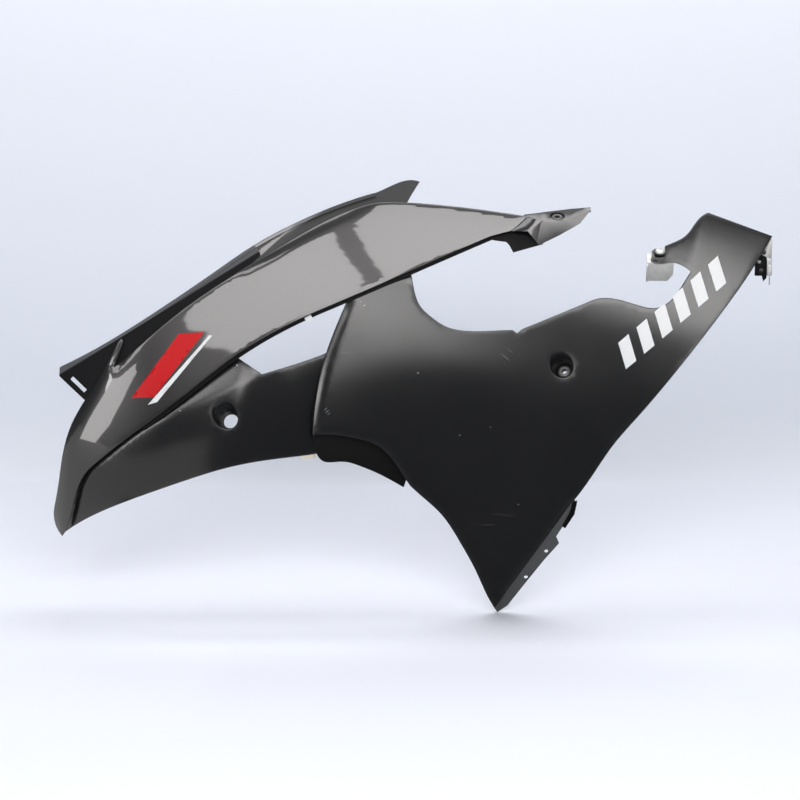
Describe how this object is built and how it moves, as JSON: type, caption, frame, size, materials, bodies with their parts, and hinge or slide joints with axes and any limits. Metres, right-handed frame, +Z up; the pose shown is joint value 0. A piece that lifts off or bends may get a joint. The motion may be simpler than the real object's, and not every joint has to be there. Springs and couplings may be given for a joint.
{
  "type": "fairing side panel",
  "caption": "Left side fairing of a sports motorcycle: painted upper panel over matte lower panels, with inner panel, rail, scoop liner, bushes, clips and screws.",
  "frame": {"origin": "middle of the collar bore in the lower panel's fixing well", "axes": "+X from nose to tail, +Y inboard from the outer face, +Z up as the panel stands in the picture"},
  "size_m": [0.9279, 0.1676, 0.575],
  "materials": {
    "gloss_paint": "dark grey metallic paint under clear coat",
    "inner_black": "bare black, painted towards its rear end",
    "matte_black": "fine grained, satin",
    "rail_black": "matte",
    "dark_steel": "black oxide",
    "rubber": "matte",
    "steel": "plain",
    "zinc": "zinc plated",
    "foil": "bright",
    "foam": "open cell",
    "pale_plastic": "plain"
  },
  "bodies": {
    "root": {"upper_side_panel": "gloss_paint", "upper_inner_panel": "inner_black", "seam_rail": "rail_black", "front_lower_panel": "matte_black", "lower_side_panel": "matte_black", "scoop_liner": "rail_black", "panel_screws": "dark_steel", "grommets": "rubber", "collars": "steel", "arm_screw": "zinc", "arm_washer": "dark_steel", "arm_pad": "rubber", "arm_clip": "zinc", "arm_nut": "zinc", "rear_stay": "zinc", "rear_retainer": "rail_black", "rear_spring_clip": "zinc", "rear_rivets": "dark_steel", "belly_clip": "rail_black", "heat_foil": "foil", "foam_tape": "foam", "seam_clip": "pale_plastic"}
  },
  "joints": []
}
